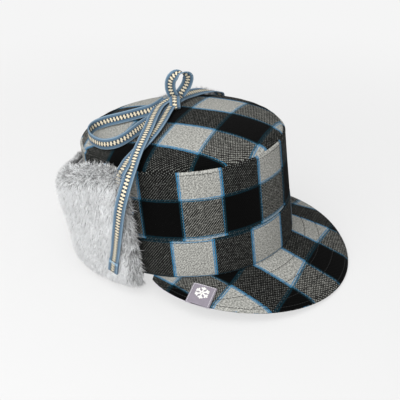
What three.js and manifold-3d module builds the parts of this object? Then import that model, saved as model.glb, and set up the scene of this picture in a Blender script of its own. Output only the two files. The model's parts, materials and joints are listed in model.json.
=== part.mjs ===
// Trapper hat in plaid wool, with fur-lined flaps folded up and tied over the crown.
// Millimetres. +Z up, the hat faces -Y, the wearer's right is -X. It stands on z = 0.
import * as THREE from "three";
import Module from "manifold-3d";

// ---- Crown ----
const CROWN_LENGTH = 196; // outside of the wool, front to back, at the base
const CROWN_WIDTH = 176; // outside of the wool, side to side, at the base
const CROWN_TAPER = 0.98; // size at the top seam over size at the base
const BAND_HEIGHT = 37;
const SEAM_HEIGHT = 101; // top seam above the base edge
const TIP_RISE = 19; // middle of the top panel above the top seam
const TIP_ROUNDNESS = 2.4; // exponent of the top panel's profile
const TIP_SHOULDER = 1.5; // how full that profile is near the seam
const WOOL = 2; // lined wool panel
const PANEL_JOIN = 0.25; // degrees at each end of a side panel
const BAND_PROUD = 0.8; // the band lies this much outside the side panels
const BAND_WALL = 2.2;
const LINING = 0.8;
const LINING_OFFSET = 4.8; // lining's outer face inside the wool's outer face
const LINING_DROP = 4; // the linings' seam below the top seam
const SWEATBAND_HEIGHT = 30;
const SWEATBAND_WALL = 1.6;
const SEAM_GAP = 0.4; // clearance between pieces that are sewn together
const PITCH = 6; // degrees: the hat leans back on its brim tip and rear fur

// ---- Brim ----
const BRIM_REACH = 54; // plan width at the middle
const BRIM_END = 88; // degrees from the front at which the brim runs out
const BRIM_SLOPE_FRONT = 29; // degrees below the base plane at the middle
const BRIM_SLOPE_SIDE = 12;
const BRIM_FULLNESS = 0.9; // below 1 the outline is squarer at the sides
const BRIM_CURL = 0.1; // share of the brim's fall that comes only towards its edge
const BRIM_COVER = 1.2;
const BRIM_BOARD = 1.2;
const BOARD_INSET = 3; // the board stops this far short of the covers' edges
const BOARD_END = 3.6; // degrees that the board stops short of the covers' ends
const BRIM_ROOT = 1.4; // how far the brim's root is tucked under the band
const LAYER_GAP = 0.3; // clearance between the brim's layers

// ---- Flaps ----
const FLAP_FRONT = 93; // degrees from the front, the ear flap's front edge
const FLAP_COUNT = 5;
const SHELL_JOIN = 2.4; // degrees between neighbouring shells
const FUR_JOIN = 9; // degrees between neighbouring fur panels
const EAR_HEIGHT = 104;
const NECK_HEIGHT = 60;
const EAR_BACK = 108; // degrees from the front at which the flap begins to lose height
const NECK_SIDE = 160; // and at which it has come down to the neck's height
const SHELL = 1.6;
const FUR_PILE = 11;
const FUR_EDGE = 0.35; // share of the pile that is left at the panel's edges
const FUR_TOP = 6; // the fur rolls this far over the shell's top edge
const FUR_DROP = 9; // the fur rolls this far below the base edge, down to the surface
const BASE_GAP_FRONT = 1.6;
const BASE_GAP_REAR = 5;
const FLARE_FRONT = 6; // how far the top edge stands out beyond the base edge
const FLARE_REAR = 13;
const FLARE_CURVE = 1.3; // exponent: the flare grows towards the top
const REAR_TURN = 35; // degrees over which the front's gap and flare become the rear's

// ---- Ties ----
const TAPE_WIDTH = 10;
const TAPE = 1;
const TAPE_EDGE = 0.5; // chamfer along the tape's edges
const TAPE_STEP = 7;
const HEM_LENGTH = 14;
const HEM = 1.8;

// ---- Label ----
const LABEL_LENGTH = 22; // along the brim's edge
const LABEL_DEPTH = 23;
const LABEL = 0.8;
const LABEL_ANGLE = 60; // degrees from the front, its middle
const LABEL_OUT = 20; // the middle's distance outside the wool

const HALF_LENGTH = CROWN_LENGTH / 2;
const HALF_WIDTH = CROWN_WIDTH / 2;

const wasm = await Module();
wasm.setup();

const radians = THREE.MathUtils.degToRad;
const ease = (from, to, x) => THREE.MathUtils.smoothstep(x, from, to);
const mix = THREE.MathUtils.lerp;

// A point on the crown's oval, `angle` degrees from the front towards the wearer's right,
// at height z and `offset` outside the wool.
function around(angle, z, offset) {
  const a = radians(angle);
  const shrink = mix(1, CROWN_TAPER, THREE.MathUtils.clamp(z / SEAM_HEIGHT, 0, 1));
  const point = new THREE.Vector3(
    -HALF_WIDTH * shrink * Math.sin(a),
    -HALF_LENGTH * shrink * Math.cos(a),
    z,
  );
  const normal = new THREE.Vector3(-Math.sin(a) / HALF_WIDTH, -Math.cos(a) / HALF_LENGTH, 0);
  return point.addScaledVector(normal.normalize(), offset);
}

// A closed solid between two faces: place(u, v, face) gives its points, with u and v from 0 to 1
// and face 0 or 1. A ring closes on itself along u; a pole is one point for all u at v = 0.
function slab(place, columns, rows, { ring = false, pole = false } = {}) {
  const positions = [];
  const triangles = [];
  const width = ring ? columns : columns + 1;
  const grid = [0, 1].map((face) =>
    Array.from({ length: rows + 1 }, (_, j) => {
      const line = [];
      for (let i = 0; i < width; i++) {
        if (pole && j === 0 && i > 0) {
          line.push(line[0]);
          continue;
        }
        positions.push(...place(i / columns, j / rows, face).toArray());
        line.push(positions.length / 3 - 1);
      }
      return line;
    }),
  );
  const triangle = (a, b, c) => {
    if (a !== b && b !== c && c !== a) triangles.push(a, b, c);
  };
  const quad = (a, b, c, d) => {
    triangle(a, b, c);
    triangle(a, c, d);
  };
  const [low, high] = grid;
  for (let i = 0; i < columns; i++) {
    const k = ring ? (i + 1) % columns : i + 1;
    for (let j = 0; j < rows; j++) {
      quad(high[j][i], high[j][k], high[j + 1][k], high[j + 1][i]);
      quad(low[j][i], low[j + 1][i], low[j + 1][k], low[j][k]);
    }
    quad(high[rows][i], high[rows][k], low[rows][k], low[rows][i]);
    if (!pole) quad(low[0][i], low[0][k], high[0][k], high[0][i]);
  }
  if (!ring) {
    for (let j = 0; j < rows; j++) {
      quad(low[j][0], high[j][0], high[j + 1][0], low[j + 1][0]);
      quad(high[j][columns], low[j][columns], low[j + 1][columns], high[j + 1][columns]);
    }
  }
  return closed(positions, triangles);
}

// The geometry of a closed surface, with its faces turned outwards.
function closed(positions, triangles) {
  const solid = new wasm.Manifold(
    new wasm.Mesh({
      numProp: 3,
      vertProperties: new Float32Array(positions),
      triVerts: new Uint32Array(triangles),
    }),
  );
  if (solid.volume() < 0) {
    for (let i = 0; i < triangles.length; i += 3) {
      [triangles[i + 1], triangles[i + 2]] = [triangles[i + 2], triangles[i + 1]];
    }
  }
  const geometry = new THREE.BufferGeometry();
  geometry.setAttribute("position", new THREE.Float32BufferAttribute(positions, 3));
  geometry.setIndex(triangles);
  geometry.computeVertexNormals();
  return geometry;
}

// ---- Materials ----
const material = (color, roughness) =>
  new THREE.MeshStandardMaterial({ color, roughness, metalness: 0 });
const plaid = () => material(0x4b4c4c, 0.95);
const fur = () => material(0xd5d7d8, 1);
const tape = () => material(0x6f93ad, 0.8);

// The hat is drawn upright, then leant back and lifted until its lowest point is at z = 0.
const hat = new THREE.Group();

function add(name, geometry, look) {
  const mesh = new THREE.Mesh(geometry, look);
  mesh.name = name;
  hat.add(mesh);
  return mesh;
}

// ---- Crown panels ----
// Height of the top panel over the top seam; r is the share of the way out to the seam.
const dome = (r) => Math.pow(Math.max(0, 1 - Math.pow(r, TIP_ROUNDNESS)), 1 / TIP_SHOULDER);

function domed(inset, bottom, wall, columns, rows) {
  const rise = bottom + TIP_RISE;
  return slab(
    (u, v, face) => {
      const r = Math.sin((v * Math.PI) / 2); // closer rows near the shoulder
      const edge = around(360 * u, SEAM_HEIGHT, -inset - (face ? 0 : wall));
      const top = face ? rise : rise - wall;
      return new THREE.Vector3(edge.x * r, edge.y * r, bottom + (top - bottom) * dome(r));
    },
    columns,
    rows,
    { ring: true, pole: true },
  );
}

function wall(from, to, bottom, top, outer, thickness, columns, ring = false) {
  return slab(
    (u, v, face) =>
      around(mix(from, to, u), mix(bottom, top, v), face ? outer : outer - thickness),
    columns,
    1,
    { ring },
  );
}

add("crown_tip", domed(0, SEAM_HEIGHT, WOOL, 56, 8), plaid());
for (const [side, from] of [["right", 0], ["left", 180]]) {
  add(
    `crown_side_${side}`,
    wall(from + PANEL_JOIN, from + 180 - PANEL_JOIN, BAND_HEIGHT + SEAM_GAP,
      SEAM_HEIGHT - SEAM_GAP, 0, WOOL, 28),
    plaid(),
  );
}
add(
  "lower_band",
  wall(0, 360, SEAM_GAP, BAND_HEIGHT, BAND_PROUD, BAND_WALL, 56, true),
  plaid(),
);

// ---- Inside of the crown ----
const LINING_TOP = SEAM_HEIGHT - LINING_DROP;
add("lining_tip", domed(LINING_OFFSET, LINING_TOP, LINING, 40, 5), material(0x2c2f33, 0.5));
add(
  "lining_side",
  wall(0, 360, SWEATBAND_HEIGHT + 2 * SEAM_GAP, LINING_TOP - SEAM_GAP,
    -LINING_OFFSET, LINING, 40, true),
  material(0x2c2f33, 0.5),
);
add(
  "sweatband",
  wall(0, 360, SEAM_GAP, SWEATBAND_HEIGHT, -LINING_OFFSET + LINING, SWEATBAND_WALL, 40, true),
  material(0x24262a, 0.8),
);

// ---- Brim ----
// Plan width of the brim at an angle from the front.
const reach = (angle) =>
  BRIM_REACH * Math.pow(1 - Math.pow(Math.min(1, Math.abs(angle) / (BRIM_END + 2)), 2), BRIM_FULLNESS);

// A point of the brim: t runs from its root to its edge, drop is the depth below its upper face.
function brimPoint(angle, t, drop) {
  const side = Math.pow(Math.sin(radians(angle)), 2);
  const slope = Math.tan(radians(mix(BRIM_SLOPE_FRONT, BRIM_SLOPE_SIDE, side)));
  const width = reach(angle);
  const out = mix(-BRIM_ROOT, width, t);
  const run = Math.max(0, out);
  const fall = run * slope * (1 - BRIM_CURL + (BRIM_CURL * run) / width);
  const point = around(angle, 0, out);
  point.z = -fall - drop;
  return point;
}

const LEAST_DEPTH = 0.02; // share of its depth that a layer keeps where the brim runs out

function brimLayer(top, thickness, inset, end, columns, rows) {
  return slab(
    (u, v, face) => {
      const angle = mix(-end, end, u);
      const width = reach(angle) + BRIM_ROOT;
      const t = mix(0, 1 - inset / width, v);
      return brimPoint(angle, Math.max(LEAST_DEPTH, t), face ? top : top + thickness);
    },
    columns,
    rows,
  );
}

const BOARD_TOP = BRIM_COVER + LAYER_GAP;
const UNDER_TOP = BOARD_TOP + BRIM_BOARD + LAYER_GAP;
add("brim_top_cover", brimLayer(0, BRIM_COVER, 0, BRIM_END, 44, 4), plaid());
add(
  "brim_board",
  brimLayer(BOARD_TOP, BRIM_BOARD, BOARD_INSET, BRIM_END - BOARD_END, 40, 3),
  material(0xcfcabd, 0.7),
);
add("brim_under_cover", brimLayer(UNDER_TOP, BRIM_COVER, 0, BRIM_END, 44, 4), plaid());

// The label is sewn flat on the brim's upper face with its lower edge at the brim's edge.
add(
  "label_tag",
  slab(
    (u, v, face) => {
      const turn = THREE.MathUtils.radToDeg(LABEL_LENGTH / (HALF_LENGTH + LABEL_OUT));
      const angle = mix(LABEL_ANGLE - turn / 2, LABEL_ANGLE + turn / 2, u);
      const t = 1 - ((1 - v) * LABEL_DEPTH) / (reach(angle) + BRIM_ROOT);
      return brimPoint(angle, t, -LAYER_GAP - (face ? LABEL : 0));
    },
    4,
    5,
  ),
  material(0x8d8790, 0.8),
);

// ---- Flaps ----
// One band of five panels round the sides and back. A panel is a plaid shell, next to the crown
// while it is folded up, with fur on its outer face.
const rearness = (angle) => ease(FLAP_FRONT, FLAP_FRONT + REAR_TURN, Math.min(angle, 360 - angle));
const flapHeight = (angle) =>
  mix(EAR_HEIGHT, NECK_HEIGHT, ease(EAR_BACK, NECK_SIDE, Math.min(angle, 360 - angle)));

function standOff(angle, z) {
  const back = rearness(angle);
  const climb = Math.pow(Math.max(0, z) / EAR_HEIGHT, FLARE_CURVE);
  return (
    BAND_PROUD +
    mix(BASE_GAP_FRONT, BASE_GAP_REAR, back) +
    mix(FLARE_FRONT, FLARE_REAR, back) * climb
  );
}

const leanSine = Math.sin(radians(PITCH));
const leanCosine = Math.cos(radians(PITCH));
const tipPoint = brimPoint(0, 1, UNDER_TOP + BRIM_COVER);
// The surface that the hat stands on touches the brim's tip; this is its height under a point.
const floorUnder = (y) =>
  (y * leanSine + (tipPoint.z * leanCosine - tipPoint.y * leanSine)) / leanCosine;

const flapSpan = (360 - 2 * FLAP_FRONT) / FLAP_COUNT;
const FLAP_NAMES = ["right_ear", "right_rear", "neck", "left_rear", "left_ear"];
FLAP_NAMES.forEach((flap, index) => {
  const start = FLAP_FRONT + index * flapSpan;
  const shellStart = start + (index === 0 ? 0 : SHELL_JOIN / 2);
  const shellEnd = start + flapSpan - (index === FLAP_COUNT - 1 ? 0 : SHELL_JOIN / 2);
  const furStart = start + (index === 0 ? 1 : FUR_JOIN / 2);
  const furEnd = start + flapSpan - (index === FLAP_COUNT - 1 ? 1 : FUR_JOIN / 2);
  add(
    `${flap}_flap_shell`,
    slab(
      (u, v, face) => {
        const angle = mix(shellStart, shellEnd, u);
        const z = mix(SEAM_GAP, flapHeight(angle), v);
        return around(angle, z, standOff(angle, z) + (face ? SHELL : 0));
      },
      8,
      6,
    ),
    plaid(),
  );
  add(
    `${flap}_flap_fur`,
    slab(
      (u, v, face) => {
        const angle = mix(furStart, furEnd, u);
        const back = standOff(angle, 0) + SHELL + SEAM_GAP;
        const floor = Math.max(-FUR_DROP, floorUnder(around(angle, 0, back).y));
        const z = mix(floor, flapHeight(angle) + FUR_TOP, v);
        const fullness = Math.sqrt(1 - Math.pow(Math.abs(2 * v - 1), 6));
        const pile = mix(FUR_EDGE, 1, fullness) * FUR_PILE;
        const inner = standOff(angle, z) + SHELL + SEAM_GAP;
        const point = around(angle, z, inner + (face ? pile : 0));
        if (v === 0) point.z = Math.max(-FUR_DROP, floorUnder(point.y));
        return point;
      },
      8,
      8,
    ),
    fur(),
  );
});

// ---- Ties ----
// A flat tape: each stop is a point and the direction its face looks, joined by a smooth curve.
function flatTape(stops, thickness = TAPE, width = TAPE_WIDTH, step = TAPE_STEP) {
  const path = new THREE.CatmullRomCurve3(stops.map((s) => new THREE.Vector3(...s.at)));
  const looks = new THREE.CatmullRomCurve3(stops.map((s) => new THREE.Vector3(...s.face)));
  const count = Math.max(2, Math.round(path.getLength() / step));
  const w = width / 2;
  const t = thickness / 2;
  const section = [
    [w, t - TAPE_EDGE / 2], [w - TAPE_EDGE, t], [TAPE_EDGE - w, t], [-w, t - TAPE_EDGE / 2],
    [-w, TAPE_EDGE / 2 - t], [TAPE_EDGE - w, -t], [w - TAPE_EDGE, -t], [w, TAPE_EDGE / 2 - t],
  ];
  const positions = [];
  const triangles = [];
  for (let i = 0; i <= count; i++) {
    const at = path.getUtoTmapping(i / count, undefined);
    const point = path.getPoint(at);
    const along = path.getTangent(at);
    const face = looks.getPoint(at).projectOnPlane(along).normalize();
    const across = new THREE.Vector3().crossVectors(along, face);
    for (const [x, y] of section) {
      const corner = point.clone().addScaledVector(across, x).addScaledVector(face, y);
      positions.push(...corner.toArray());
    }
  }
  const n = section.length;
  for (let i = 0; i < count; i++) {
    for (let j = 0; j < n; j++) {
      const k = (j + 1) % n;
      const [a, b, c, d] = [i * n + j, i * n + k, (i + 1) * n + k, (i + 1) * n + j];
      triangles.push(a, b, c, a, c, d);
    }
  }
  for (let j = 1; j < n - 1; j++) {
    triangles.push(0, j + 1, j);
    triangles.push(count * n, count * n + j, count * n + j + 1);
  }
  return closed(positions, triangles);
}

const RIGHT_TIE = [
  { at: [-112, 5, 99], face: [-1, 0, 0.2] },
  { at: [-110, 6, 108], face: [-0.9, 0, 0.5] },
  { at: [-100, 8, 113.5], face: [-0.3, 0, 1] },
  { at: [-84, 9, 113.5], face: [-0.1, 0, 1] },
  { at: [-66, 6, 115], face: [-0.2, 0, 1] },
  { at: [-46, 3, 119.5], face: [-0.2, 0, 1] },
  { at: [-24, 5, 122.5], face: [-0.1, 0, 1] },
  { at: [4, 12, 123.5], face: [0, 0, 1] },
];
add("right_tie", flatTape(RIGHT_TIE), tape());

const LEFT_TIE = [
  { at: [30, 14, 123], face: [0, 0, 1] },
  { at: [46, 12, 120.5], face: [0.2, 0, 1] },
  { at: [66, 9, 117], face: [0.2, 0, 1] },
  { at: [86, 7, 114], face: [0.1, 0, 1] },
  { at: [100, 6, 113.5], face: [0.3, 0, 1] },
  { at: [110, 5, 108], face: [0.9, 0, 0.5] },
  { at: [112, 5, 99], face: [1, 0, 0.2] },
];
add("left_tie", flatTape(LEFT_TIE), tape());

const TAIL = [
  { at: [9, 17, 130], face: [0, 0, 1] },
  { at: [-8, 18, 127.5], face: [-0.1, 0, 1] },
  { at: [-32, 15, 125.5], face: [-0.2, 0, 1] },
  { at: [-58, 11, 120.5], face: [-0.3, 0, 1] },
  { at: [-86, 8, 117.5], face: [-0.2, 0, 1] },
  { at: [-106, 5, 115], face: [-0.5, 0, 1] },
  { at: [-117, 4, 104], face: [-1, 0, 0.35] },
  { at: [-118, 6, 86], face: [-1, 0, 0] },
  { at: [-117, 9, 64], face: [-1, 0.1, -0.1] },
  { at: [-115, 13, 42], face: [-1, 0.1, -0.1] },
  { at: [-112, 18, 24], face: [-1, 0.2, -0.1] },
];
add("tail", flatTape(TAIL), tape());
const HEM_STOPS = [
  { at: [-111.9, 18.2, 23.4], face: [-1, 0.2, -0.1] },
  { at: [-110, 22, 10.6], face: [-1, 0.2, -0.1] },
];
add("tail_hem", flatTape(HEM_STOPS, HEM, TAPE_WIDTH + 0.6, HEM_LENGTH / 2), tape());

const LARGE_LOOP = [
  { at: [10, 28, 127], face: [-0.3, 1, 0.3] },
  { at: [-4, 37, 125], face: [-0.4, 1, 0.3] },
  { at: [-16, 48, 122.5], face: [-0.3, 1, 0.3] },
  { at: [-27, 62, 118.5], face: [-0.1, 1, 0.3] },
  { at: [-39, 69, 116], face: [-0.6, 1, 0.2] },
  { at: [-50, 65, 115.5], face: [-1, 0.2, 0.2] },
  { at: [-56, 54, 116], face: [-1, -0.4, 0.1] },
  { at: [-57, 42, 118], face: [-1, -0.5, 0.1] },
  { at: [-48, 31, 122], face: [-0.7, -1, 0.3] },
  { at: [-34, 27.5, 124.5], face: [-0.4, -1, 0.4] },
  { at: [-22, 27.5, 125.5], face: [0, -1, 0.4] },
];
add("large_loop", flatTape(LARGE_LOOP, TAPE, TAPE_WIDTH, 5), tape());

const SMALL_LOOP = [
  { at: [15, 16, 131.5], face: [-0.8, -0.2, 0.1] },
  { at: [12, 19, 141], face: [-1, -0.3, 0.2] },
  { at: [13, 16, 151], face: [-1, -0.4, 0.5] },
  { at: [18, 7, 156], face: [0, -0.3, 1] },
  { at: [23, -1, 151], face: [1, 0.3, 0.5] },
  { at: [24, 3, 141], face: [1, 0.3, 0] },
  { at: [22, 10, 131.5], face: [0.8, 0.2, 0] },
];
add("small_loop", flatTape(SMALL_LOOP, TAPE, TAPE_WIDTH, 5), tape());

// The knot is one wrap of the tape round the crossing, drawn as its outer shape.
const KNOT_CENTRE = [18, 15, 126];
const KNOT_SIZE = [15, 14, 11];
const knot = new THREE.SphereGeometry(0.5, 20, 12);
knot.scale(...KNOT_SIZE);
const knotMesh = add("bow_knot", knot, tape());
knotMesh.position.set(...KNOT_CENTRE);

// The tied tapes lie over the hat and have no part in where it stands.
const CORDS = ["right_tie", "left_tie", "tail", "tail_hem", "large_loop", "small_loop", "bow_knot"];
hat.rotation.x = -radians(PITCH);
hat.updateMatrixWorld(true);
const outline = new THREE.Box3();
for (const mesh of hat.children) {
  if (!CORDS.includes(mesh.name)) outline.expandByObject(mesh, true);
}
hat.position.set(0, -(outline.min.y + outline.max.y) / 2, -outline.min.z);

const trapperHat = new THREE.Group();
trapperHat.name = "trapper_hat";
trapperHat.add(hat);

export default trapperHat;
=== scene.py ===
# Trapper hat: plaid wool crown and brim, fur-lined flaps folded up, woven ties in a bow.
# Shapes are drawn in the hat's own upright frame in millimetres, then placed by the record.
import json
import math

import bmesh
import bpy
import numpy as np
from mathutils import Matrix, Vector


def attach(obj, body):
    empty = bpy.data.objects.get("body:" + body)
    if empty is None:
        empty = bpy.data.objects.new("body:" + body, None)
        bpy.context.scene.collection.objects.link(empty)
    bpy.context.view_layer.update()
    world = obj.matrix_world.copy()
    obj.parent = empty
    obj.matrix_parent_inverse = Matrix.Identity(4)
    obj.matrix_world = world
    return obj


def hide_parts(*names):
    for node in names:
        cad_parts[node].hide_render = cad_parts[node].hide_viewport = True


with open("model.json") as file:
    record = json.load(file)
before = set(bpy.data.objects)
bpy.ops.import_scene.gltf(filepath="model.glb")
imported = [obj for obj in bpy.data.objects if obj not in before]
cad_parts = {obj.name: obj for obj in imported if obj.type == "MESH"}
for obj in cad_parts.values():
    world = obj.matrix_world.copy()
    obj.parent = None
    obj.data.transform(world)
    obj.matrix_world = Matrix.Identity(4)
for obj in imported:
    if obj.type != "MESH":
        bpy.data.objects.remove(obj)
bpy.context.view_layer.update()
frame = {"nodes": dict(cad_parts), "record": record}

MM = 0.001

# ---- Sizes, as the model's own, in millimetres ----
HALF_LENGTH = 98
HALF_WIDTH = 88
CROWN_TAPER = 0.98
BAND_HEIGHT = 37
SEAM_HEIGHT = 101
TIP_RISE = 19
TIP_ROUNDNESS = 2.4
TIP_SHOULDER = 1.5
WOOL = 1.8
BAND_PROUD = 0.8
LINING_OFFSET = 4.8
SWEATBAND_HEIGHT = 30

BRIM_REACH = 54
BRIM_END = 88
BRIM_SLOPE_FRONT = 29
BRIM_SLOPE_SIDE = 12
BRIM_THICKNESS = 4.2
BRIM_ROOT = 1.4

FLAP_FRONT = 93
FLAP_COUNT = 5
EAR_HEIGHT = 104
NECK_HEIGHT = 60
SHELL = 1.6
SHELL_JOIN = 1.0  # degrees between neighbouring shells
FUR_PILE = 11
FUR_TOP = 6
FUR_DROP = 9
FUR_SETBACK = 2.6  # the pile's roots lie this far inside the fur's outer face

TAPE_WIDTH = 10
TAPE = 1

CHECK = 36.4  # one check of the plaid

# ---- Placing: the head opening mount gives the base's middle and the lean ----
opening = next(m for m in frame["record"]["mounts"] if m["name"] == "head_opening")
BASE = np.array(opening["pos_m"], float)
UP = -np.array(opening["axis"], float)
HAT = np.array([[1, 0, 0], [0, UP[2], -UP[1]], UP])  # rows are the hat's axes in the row frame


def place(points):
    """Points of the upright hat in millimetres, as metres in the row frame."""
    return np.asarray(points, float) @ HAT * MM + BASE


# ---- Shapes shared by the pieces ----
def smooth(low, high, x):
    t = np.clip((np.asarray(x, float) - low) / (high - low), 0, 1)
    return t * t * (3 - 2 * t)


def mix(a, b, t):
    return a + (b - a) * t


def unit(vectors):
    return vectors / np.linalg.norm(vectors, axis=-1, keepdims=True)


def bell(x, centre, width):
    return np.exp(-(((x - centre) / width) ** 2))


def around(angle, z, offset):
    """On the crown's oval, angle degrees from the front towards the wearer's right."""
    a = np.radians(angle)
    z = np.asarray(z, float) + 0 * a
    shrink = mix(1, CROWN_TAPER, np.clip(z / SEAM_HEIGHT, 0, 1))
    normal = unit(np.stack([-np.sin(a) / HALF_WIDTH, -np.cos(a) / HALF_LENGTH, 0 * a], -1))
    flat = np.stack([-HALF_WIDTH * shrink * np.sin(a), -HALF_LENGTH * shrink * np.cos(a), z], -1)
    return flat + normal * np.asarray(offset, float)[..., None]


ARC_ANGLES = np.linspace(-360, 360, 2881)
_steps = np.hypot(*np.diff(around(ARC_ANGLES, 0 * ARC_ANGLES, 0 * ARC_ANGLES)[:, :2], axis=0).T)
ARC_LENGTHS = np.concatenate([[0], np.cumsum(_steps)])
ARC_LENGTHS -= np.interp(0, ARC_ANGLES, ARC_LENGTHS)


def arc(angle):
    """Length along the base from the front, towards the wearer's right."""
    return np.interp(angle, ARC_ANGLES, ARC_LENGTHS)


def ripple(angle, z, size=1.0):
    """Slow unevenness of sewn wool, in millimetres."""
    a = np.radians(angle)
    wave = np.sin(5 * a + z / 17) + 0.7 * np.sin(9 * a - z / 11 + 1.3) + 0.5 * np.sin(14 * a + z / 23 + 4)
    return 0.22 * size * wave


# ---- Meshes ----
def new_object(name, vertices, faces, uv=None, material=None, smooth_shading=True):
    mesh = bpy.data.meshes.new(name)
    mesh.from_pydata([], [], [])
    vertices = place(vertices)
    faces = np.asarray(faces)
    sides = faces.shape[1]
    mesh.vertices.add(len(vertices))
    mesh.vertices.foreach_set("co", vertices.ravel())
    mesh.loops.add(faces.size)
    mesh.loops.foreach_set("vertex_index", faces.ravel())
    mesh.polygons.add(len(faces))
    mesh.polygons.foreach_set("loop_start", np.arange(0, faces.size, sides))
    mesh.polygons.foreach_set("loop_total", np.full(len(faces), sides))
    mesh.polygons.foreach_set("use_smooth", np.full(len(faces), smooth_shading))
    if uv is not None:
        layer = mesh.uv_layers.new(name="cloth")
        layer.data.foreach_set("uv", np.asarray(uv, float).ravel())
    mesh.update(calc_edges=True)
    mesh.validate()
    if material:
        mesh.materials.append(material)
    made = bpy.data.objects.new(name, mesh)
    bpy.context.scene.collection.objects.link(made)
    return made


def cloth(name, surface, pattern, columns, rows, thickness, material, ring=False, facing=None):
    """A closed piece of cloth. surface(u, v) is its outer face and pattern(u, v, points) its
    place on the cloth, in millimetres, for arrays u and v from 0 to 1. It faces away from the
    middle of the head, or along facing."""
    v, u = np.meshgrid(np.linspace(0, 1, rows + 1), np.linspace(0, 1, columns + 1), indexing="ij")
    outer = surface(u, v)
    du = np.gradient(outer, axis=1)
    if ring:
        du[:, 0] = du[:, -1] = (outer[:, 1] - outer[:, -2]) / 2
    normal = np.cross(du, np.gradient(outer, axis=0))
    normal /= np.maximum(np.linalg.norm(normal, axis=-1, keepdims=True), 1e-9)
    outward = outer - [0, 0, 60.0] if facing is None else np.array(facing, float)
    if np.sum(normal * outward) < 0:
        normal = -normal
    inner = outer - normal * thickness

    def rim(edge, neighbour):
        out = outer[edge] - outer[neighbour]
        out /= np.maximum(np.linalg.norm(out, axis=-1, keepdims=True), 1e-9)
        return (outer[edge] + inner[edge]) / 2 + out * thickness * 0.45

    loop = np.concatenate([outer, rim(-1, -2)[None], inner[::-1], rim(0, 1)[None]])
    coords = pattern(u, v, outer)
    uvs = np.concatenate([coords, coords[-1:], coords[::-1], coords[:1]])
    count, width = loop.shape[0], (columns if ring else columns + 1)
    index = np.arange(count * width).reshape(count, width)
    j, i = np.meshgrid(np.arange(count), np.arange(columns), indexing="ij")
    j, i = j.ravel(), i.ravel()
    j2, i2 = (j + 1) % count, i + 1
    wrap = i2 % width if ring else i2
    faces = [np.stack([index[j, i], index[j, wrap], index[j2, wrap], index[j2, i]], -1)]
    corner_uv = [np.stack([uvs[j, i], uvs[j, i2], uvs[j2, i2], uvs[j2, i]], 1)]
    if not ring:
        for column in (0, columns):
            k = np.arange(rows)
            back = 2 * rows + 2 - k  # the inner row that lies behind outer row k
            faces.append(np.stack([index[k, column], index[k + 1, column],
                                   index[back - 1, column], index[back, column]], -1))
            corner_uv.append(np.stack([uvs[k, column], uvs[k + 1, column],
                                       uvs[back - 1, column], uvs[back, column]], 1))
    faces = np.concatenate(faces)
    corner_uv = np.concatenate(corner_uv)
    made = new_object(name, loop[:, :width].reshape(-1, 3), faces, corner_uv, material)
    face_out(made)
    return made


def face_out(obj):
    work = bmesh.new()
    work.from_mesh(obj.data)
    bmesh.ops.dissolve_degenerate(work, dist=1e-7, edges=work.edges)
    bmesh.ops.holes_fill(work, edges=work.edges, sides=3)
    bmesh.ops.recalc_face_normals(work, faces=work.faces)
    work.to_mesh(obj.data)
    work.free()


def stitches(name, points, normals, material, pitch=2.7, length=2.45, radius=0.36):
    """Thread along a line of points: a flattened bead for each stitch."""
    points = np.asarray(points, float)
    run = np.concatenate([[0], np.cumsum(np.linalg.norm(np.diff(points, axis=0), axis=1))])
    middles = np.arange(pitch / 2, run[-1], pitch)

    def at(s, values):
        return np.stack([np.interp(s, run, values[:, k]) for k in range(3)], -1)

    centre = at(middles, points)
    along = unit(at(middles + 0.4, points) - at(middles - 0.4, points))
    up = at(middles, np.asarray(normals, float))
    up = unit(up - along * np.sum(up * along, axis=1, keepdims=True))
    across = np.cross(along, up)
    sides, rings = 6, 5
    t = np.linspace(0, math.pi, rings)
    x = -np.cos(t) * length / 2
    r = np.maximum(np.sin(t) ** 0.6, 0.05) * radius
    turn = np.arange(sides) / sides * 2 * math.pi
    shape = np.array([[x[k], r[k] * math.cos(a), r[k] * math.sin(a) * 0.8]
                      for k in range(rings) for a in turn])
    vertices = (centre[:, None] + shape[None, :, :1] * along[:, None]
                + shape[None, :, 1:2] * across[:, None] + shape[None, :, 2:] * up[:, None])
    quads = []
    for k in range(rings - 1):
        for s in range(sides):
            n = (s + 1) % sides
            quads.append([k * sides + s, k * sides + n, (k + 1) * sides + n, (k + 1) * sides + s])
    for k in (0, rings - 1):
        b = k * sides
        quads += [[b, b + 1, b + 2, b + 3], [b, b + 3, b + 4, b + 5]]
    quads = np.array(quads)
    faces = (np.arange(len(centre)) * len(shape))[:, None, None] + quads[None]
    made = new_object(name, vertices.reshape(-1, 3), faces.reshape(-1, 4), None, material)
    face_out(made)
    return made


# ---- Materials ----
def linear(hex_colour):
    value = [int(hex_colour[k:k + 2], 16) / 255 for k in (1, 3, 5)]
    return [c / 12.92 if c <= 0.04045 else ((c + 0.055) / 1.055) ** 2.4 for c in value]


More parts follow.
